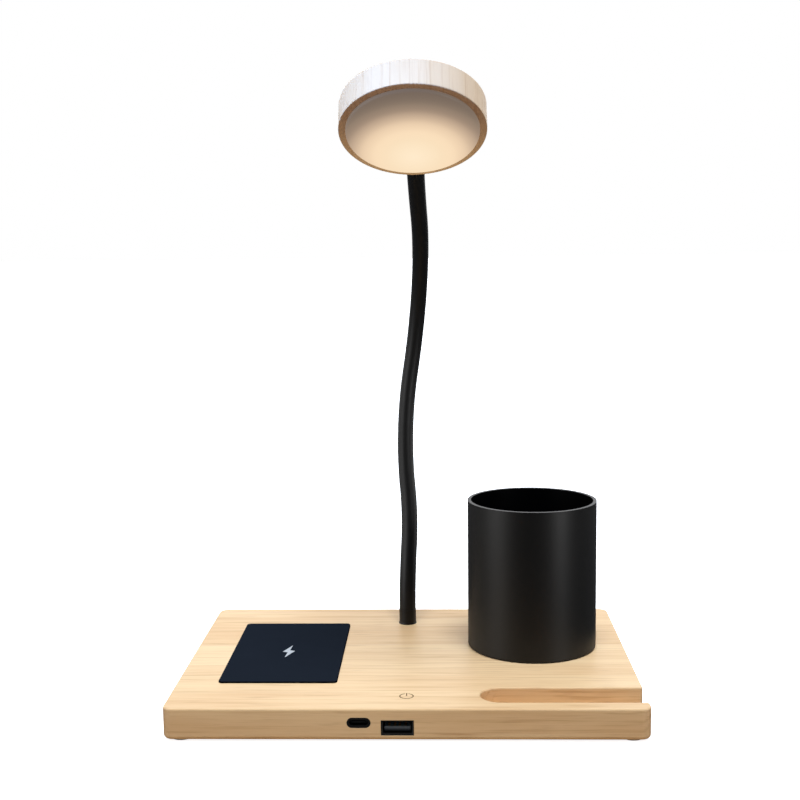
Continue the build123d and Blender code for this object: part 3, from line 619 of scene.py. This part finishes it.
plainFinishes = {
    "sleeveBlack": {"shade": (12, 12, 13), "roughness": 0.46, "grain": 2.6, "bump": 0.12, "specular": 0.25},
    "ferruleBlack": {"shade": (12, 12, 13), "roughness": 0.40, "grain": 2.0, "specular": 0.25},
    "footRubber": {"shade": (222, 220, 216), "roughness": 0.55, "grain": 1.6, "bump": 0.2, "specular": 0.2},
    "coverPlastic": {"shade": (34, 34, 36), "roughness": 0.55, "grain": 1.8, "bump": 0.2, "specular": 0.3},
    "portBlack": {"shade": (16, 14, 13), "roughness": 0.35, "grain": 2.0},
    "inletBlack": {"shade": (14, 18, 20), "roughness": 0.30, "grain": 2.0},
    # contact gold darkened as painted shade, for the contacts deep in the port
    "contactGold": {"shade": (172, 142, 90), "roughness": 0.30, "grain": 4.0, "metallic": 1.0},
    "screwSteel": {"shade": (176, 176, 178), "roughness": 0.34, "grain": 4.0, "metallic": 1.0},
    "coilCopper": {"shade": (190, 112, 66), "roughness": 0.35, "grain": 2.0, "metallic": 1.0},
    "ferriteGrey": {"shade": (70, 70, 73), "roughness": 0.7, "grain": 1.5},
    "circuitGreen": {"shade": (24, 92, 60), "roughness": 0.4, "grain": 1.0},
    "leadBlack": {"shade": (24, 24, 26), "roughness": 0.5, "grain": 2.0},
    "lightBoard": {"shade": (238, 238, 236), "roughness": 0.4, "grain": 1.0},
    "lightChip": {"shade": (240, 208, 96), "roughness": 0.35, "grain": 2.0},
    "markWhite": {"shade": (198, 201, 203), "roughness": 0.6, "grain": 5.0, "cloud": 0.02, "specular": 0.0},
    "markBrown": {"shade": (112, 86, 54), "roughness": 0.7, "grain": 4.0, "cloud": 0.2, "specular": 0.1},
}
materials = {name: finishMaterial(name, values) for name, values in plainFinishes.items()}
materials.update({
    "bambooBase": bambooMaterial("bambooBase"),
    "bambooHead": bambooMaterial("bambooHead", **headValues),
    "cupBlack": cupMaterial("cupBlack", cupValues),
    "padNavy": padMaterial("padNavy", padValues),
    "tongueGrey": tongueMaterial("tongueGrey", tongueValues),
    "opalDiffuser": opalMaterial("opalDiffuser", opalValues),
})

nodeFinish = {
    "base_board": "bambooBase", "head_shell": "bambooHead", "pen_cup": "cupBlack", "charging_pad": "padNavy",
    "base_cover": "coverPlastic", "neck_base_fitting": "ferruleBlack", "neck_head_fitting": "ferruleBlack",
    "usb_a_shell": "portBlack", "usb_c_shell": "portBlack", "usb_a_tongue": "tongueGrey",
    "usb_c_tongue": "inletBlack", "usb_a_contacts": "contactGold", "touch_plate": "contactGold",
    "touch_pin": "contactGold", "charging_coil": "coilCopper", "coil_ferrite": "ferriteGrey",
    "circuit_board": "circuitGreen", "circuit_parts": "inletBlack", "lamp_lead": "leadBlack",
    "coil_lead": "leadBlack", "head_lead": "leadBlack", "led_board": "lightBoard", "led_chips": "lightChip",
    "diffuser": "opalDiffuser",
}
startFinish = {"foot_": "footRubber", "neck_tube": "sleeveBlack", "neck_lead": "leadBlack"}
for name, node in nodes.items():
    finish = nodeFinish.get(name)
    if finish is None:
        # what is left after the alike ones are screws, the washer and the nut
        finish = next((f for start, f in startFinish.items() if name.startswith(start)), "screwSteel")
    node.data.materials.clear()
    node.data.materials.append(materials[finish])
print("finishes given to", len(nodes), "nodes")


# neck sleeve: one smooth length over each seat, curved along the neck's course

sleeveValues = {
    "radius": 4.22,
    "rings": 41,
    "around": 56,
    "tuck": 4.0,  # how far the first and last lengths run into their ferrules
    "tuckRadius": 3.3,
    "headRim": 2.37,  # last seat to the rim of the head's ferrule
}


def makeSleeves(values):
    # a circle of the given radius carried along the neck's course, narrowing where it is tucked in
    pitch = neckValues["pitch"]
    seatCount = len(neckParts["angle"]) + 1
    ringAngle = np.linspace(0, 2 * math.pi, values["around"], endpoint=False)[None, :, None]
    faces = tubeFaces(values["rings"], values["around"])
    top = (seatCount - 1) * pitch + values["headRim"]
    for seat in range(seatCount):
        low, high = (seat - 0.5) * pitch, (seat + 0.5) * pitch
        distance = np.linspace(max(low, -values["tuck"]), min(high, top + values["tuck"]), values["rings"])
        point, x, z = courseAt(distance)
        y = np.cross(z, x)
        tucked = np.maximum(np.maximum(-distance, distance - top), 0) / values["tuck"]
        radius = values["radius"] + (values["tuckRadius"] - values["radius"]) * tucked
        ring = np.cos(ringAngle) * x[:, None] + np.sin(ringAngle) * y[:, None]
        points = (point[:, None] + ring * radius[:, None, None]).reshape(-1, 3)
        sleeve = addPiece(f"neckSleeve{seat + 1}", points, faces, materials["sleeveBlack"])
        if seat:
            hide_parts(f"neck_tube_{seat}")
        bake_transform(sleeve)


makeSleeves(sleeveValues)
print("neck sleeves made")


# charging mark on the pad and power mark on the wood

boltValues = {
    "middle": (-58.75, 0.1),
    "tip": (0.96, 9.2),
    "tipWidth": 0.02,
    "notch": (0.38, 1.5),
    "corner": (2.92, 0.55),
    "surface": 15.8,
    "rise": 0.05,
}


def makeBolt(values):
    # a flat band whose left and right edges run tip, corner, notch, tip, each the other turned by half
    tip, notch, corner = (np.array(values[k]) for k in ("tip", "notch", "corner"))
    left = np.array([tip, -corner, -notch, -tip])
    right = np.array([tip, notch, corner, -tip])
    left[0, 0] -= values["tipWidth"]
    right[-1, 0] += values["tipWidth"]
    high, low = values["surface"] + values["rise"], values["surface"] - values["rise"]
    plan = np.stack([left, right, right, left], 1) + np.array(values["middle"])
    heights = np.broadcast_to(np.array([low, low, high, high])[:, None], (*plan.shape[:2], 1))
    points = np.concatenate([plan, heights], 2)
    faces = tubeFaces(*points.shape[:2])
    bolt = addPiece("boltMark", points.reshape(-1, 3), faces, materials["markWhite"])
    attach(bolt, "base")


powerValues = {
    "middle": (0.1, -59.3),
    "radius": 2.95,
    "line": 0.5,
    "gap": 15.0,  # degrees each side of the tick
    "ringSteps": 72,
    "tick": (0.1, 3.7),  # from and to, behind the middle
    "tickSteps": 6,
    "surface": 15.0,
    "rise": 0.02,
}


def makePower(values):
    # a square bar carried round a ring that is open behind, and a straight one for the tick
    half, rise = values["line"] / 2, values["rise"]
    corner = np.array([(-half, -rise), (half, -rise), (half, rise), (-half, rise)])
    turn = np.radians(np.linspace(90 + values["gap"], 450 - values["gap"], values["ringSteps"]))
    out = np.stack([np.cos(turn), np.sin(turn)], -1)
    plan = out[:, None] * (values["radius"] + corner[None, :, :1])
    ring = np.concatenate([plan, np.broadcast_to(corner[None, :, 1:], (*plan.shape[:2], 1))], 2)
    depth = np.linspace(*values["tick"], values["tickSteps"])
    tick = np.stack(np.broadcast_arrays(-corner[None, :, 0], depth[:, None], corner[None, :, 1]), -1)
    parts = [(p.reshape(-1, 3), tubeFaces(*p.shape[:2])) for p in (ring, tick)]
    points, faces = joinParts(parts)
    points = points + np.array([*values["middle"], values["surface"]])
    power = addPiece("powerMark", points, faces, materials["markBrown"])
    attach(power, "base")


makeBolt(boltValues)
makePower(powerValues)
print("marks made")


# floor and studio light

stageValues = {
    "floorHalf": 40000.0,
    "floorCells": 8,
    "floorSeen": 1.0,  # shade of the floor in the picture
    "floorLit": (0.45, 0.335, 0.222),  # shade of the floor as it throws light back
    "floorGloss": 0.07,  # shade of the floor as gloss reflects it
    "floorGlow": 0.88,  # keeps the far floor as pale as the near
    "backdrop": 1.0,  # what the camera sees behind
    "ambient": 0.25,  # what lights the object all round
    "mirrored": (0.06, 2.1),  # what gloss reflects, from the camera's side and from behind
    "mirrorEdge": 0.35,  # how far to each side of the middle the one fades into the other
    "sun": {"strength": 2.92, "spread": 26.0, "toward": (-0.03, 0.24, -1.0), "tint": (0.91, 1.0, 1.14)},
    "headSpot": {"place": (-166, -269, 420), "aim": (0, -40, 270), "cone": 20.0, "edge": 0.3, "soft": 40.0,
                 "power": 2.65, "tint": (0.43, 0.86, 1.80)},
    "boxes": {
        "boxLeft": {"place": (-400, -190, 150), "aim": (30, 30, 80), "size": (260, 420), "power": 1.8},
        "boxRight": {"place": (375, -292, 150), "aim": (60, 14, 60), "size": (80, 420), "power": 1.38},
    },
}
white = (1.0, 1.0, 1.0, 1.0)


def makeFloor(values):
    # a flat grid; it throws less light back than it shows, as a floor further off would
    half, cells = values["floorHalf"], values["floorCells"]
    step = np.linspace(-half, half, cells + 1)
    x, y = np.meshgrid(step, step, indexing="xy")
    points = np.stack([x, y, np.zeros_like(x)], -1).reshape(-1, 3)
    row, column = np.meshgrid(np.arange(cells), np.arange(cells), indexing="ij")
    here = row * (cells + 1) + column
    behind = here + cells + 1
    faces = np.stack([here, here + 1, behind + 1, behind], -1).reshape(-1, 4).tolist()
    material, tree, shader = newMaterial("paleFloor")
    path = addNode(tree, "LightPath").outputs
    gloss, seen = ((values[k],) * 3 + (1.0,) for k in ("floorGloss", "floorSeen"))
    lit = (*values["floorLit"], 1.0)
    shade = mixColour(tree, path["Is Camera Ray"], mixColour(tree, path["Is Glossy Ray"], lit, gloss), seen)
    glow = calc(tree, "MULTIPLY", path["Is Camera Ray"], values["floorGlow"])
    feed(tree, shader.inputs, {
        "Base Color": shade, "Emission Strength": glow, "Emission Color": white, "Roughness": 1.0,
        "Specular IOR Level": 0.0})
    addPiece("floor", points, faces, material)


def makeWorld(values):
    # one brightness for the camera, one for light all round, and one for gloss, from front to back
    world = bpy.data.worlds.new("studio")
    scene.world = world
    world.use_nodes = True
    tree = world.node_tree
    out = next(n for n in tree.nodes if n.type == "OUTPUT_WORLD")
    direction = axesOf(tree, addNode(tree, "TexCoord").outputs["Generated"])["Y"]
    mirrored = between(tree, direction, -values["mirrorEdge"], values["mirrorEdge"], *values["mirrored"])
    seen, light, gloss = (
        addNode(tree, "Background", {"Color": white, "Strength": strength}).outputs[0]
        for strength in (values["backdrop"], values["ambient"], mirrored))
    path = addNode(tree, "LightPath").outputs
    unseen = addNode(tree, "MixShader", {0: path["Is Glossy Ray"], 1: light, 2: gloss})
    whole = addNode(tree, "MixShader", {0: path["Is Camera Ray"], 1: unseen.outputs[0], 2: seen})
    tree.links.new(whole.outputs[0], out.inputs["Surface"])


def addLight(name, kind, place, aim, power, tint=(1, 1, 1)):
    # a light whose -Z points from its place to its aim
    data = bpy.data.lights.new(name, kind)
    data.energy = power
    data.color = tint
    lamp = bpy.data.objects.new(name, data)
    turn = (Vector(aim) - Vector(place)).to_track_quat("-Z", "Y").to_matrix().to_4x4()
    lamp.matrix_world = Matrix.Translation(Vector(place) * mm) @ turn
    scene.collection.objects.link(lamp)
    return lamp, data


def makeLights(values):
    # a soft sun and a spot on the head that gloss doesn't see, and boxes that only gloss sees
    sun = values["sun"]
    lamp, data = addLight("sun", "SUN", (0, 0, 0), sun["toward"], sun["strength"], sun["tint"])
    data.angle = math.radians(sun["spread"])
    lamp.visible_glossy = False
    spot = values["headSpot"]
    lamp, data = addLight("headSpot", "SPOT", spot["place"], spot["aim"], spot["power"], spot["tint"])
    data.spot_size = math.radians(spot["cone"])
    data.spot_blend = spot["edge"]
    data.shadow_soft_size = spot["soft"] * mm
    lamp.visible_glossy = False
    for name, box in values["boxes"].items():
        lamp, data = addLight(name, "AREA", box["place"], box["aim"], box["power"])
        data.shape = "RECTANGLE"
        data.size, data.size_y = (s * mm for s in box["size"])
        lamp.visible_diffuse = False


makeFloor(stageValues)
makeWorld(stageValues)
makeLights(stageValues)
scene.view_settings.view_transform = "Standard"
print("stage set")
